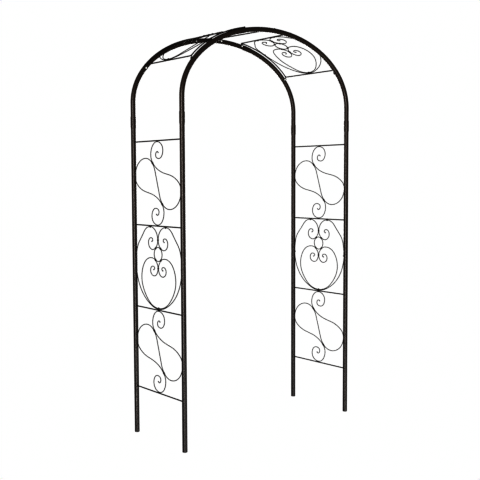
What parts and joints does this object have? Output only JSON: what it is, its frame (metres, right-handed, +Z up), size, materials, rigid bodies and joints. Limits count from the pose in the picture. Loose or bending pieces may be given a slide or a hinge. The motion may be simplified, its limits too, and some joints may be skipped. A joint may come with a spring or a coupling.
{
  "type": "garden trellis arch",
  "caption": "Tall black steel garden arch of bent tube, with welded scroll and heart wirework in both sides and over the crown, for climbing plants over a path.",
  "frame": {"origin": "on the ground, at the middle of the four feet", "axes": "+Z up, +X across the walkway to the right as seen from the front, +Y from the front hoop to the back hoop, along the way one walks through"},
  "size_m": [1.2028, 0.4826, 2.206],
  "materials": {
    "tube_coat": "satin black powder coat",
    "rod_coat": "satin black powder coat",
    "wire_coat": "satin black powder coat",
    "lug_coat": "satin black powder coat",
    "foot_plastic": "fine moulded grain",
    "screw_zinc": "bright zinc plate"
  },
  "bodies": {
    "root": {"crown_tie_lugs": "lug_coat", "crown_tie_rod": "rod_coat", "foot_plug_back_left": "foot_plastic", "foot_plug_back_right": "foot_plastic", "foot_plug_front_left": "foot_plastic", "foot_plug_front_right": "foot_plastic", "heart_left_inner": "wire_coat", "heart_left_outer": "wire_coat", "heart_left_ring": "wire_coat", "heart_right_inner": "wire_coat", "heart_right_outer": "wire_coat", "heart_right_ring": "wire_coat", "hoop_back_left": "tube_coat", "hoop_back_right": "tube_coat", "hoop_front_left": "tube_coat", "hoop_front_right": "tube_coat", "lug_screws": "screw_zinc", "post_back_left": "tube_coat", "post_back_right": "tube_coat", "post_front_left": "tube_coat", "post_front_right": "tube_coat", "roof_left_back_rod": "rod_coat", "roof_left_front_rod": "rod_coat", "roof_left_heart_inner": "wire_coat", "roof_left_heart_outer": "wire_coat", "roof_left_heart_ring": "wire_coat", "roof_left_lower_rod": "rod_coat", "roof_left_lugs": "lug_coat", "roof_left_upper_rod": "rod_coat", "roof_right_back_rod": "rod_coat", "roof_right_front_rod": "rod_coat", "roof_right_heart_inner": "wire_coat", "roof_right_heart_outer": "wire_coat", "roof_right_heart_ring": "wire_coat", "roof_right_lower_rod": "rod_coat", "roof_right_lugs": "lug_coat", "roof_right_upper_rod": "rod_coat", "rung_left_bottom": "rod_coat", "rung_left_lower": "rod_coat", "rung_left_top": "rod_coat", "rung_left_upper": "rod_coat", "rung_right_bottom": "rod_coat", "rung_right_lower": "rod_coat", "rung_right_top": "rod_coat", "rung_right_upper": "rod_coat", "scroll_left_lower": "wire_coat", "scroll_left_upper": "wire_coat", "scroll_right_lower": "wire_coat", "scroll_right_upper": "wire_coat"}
  },
  "joints": []
}
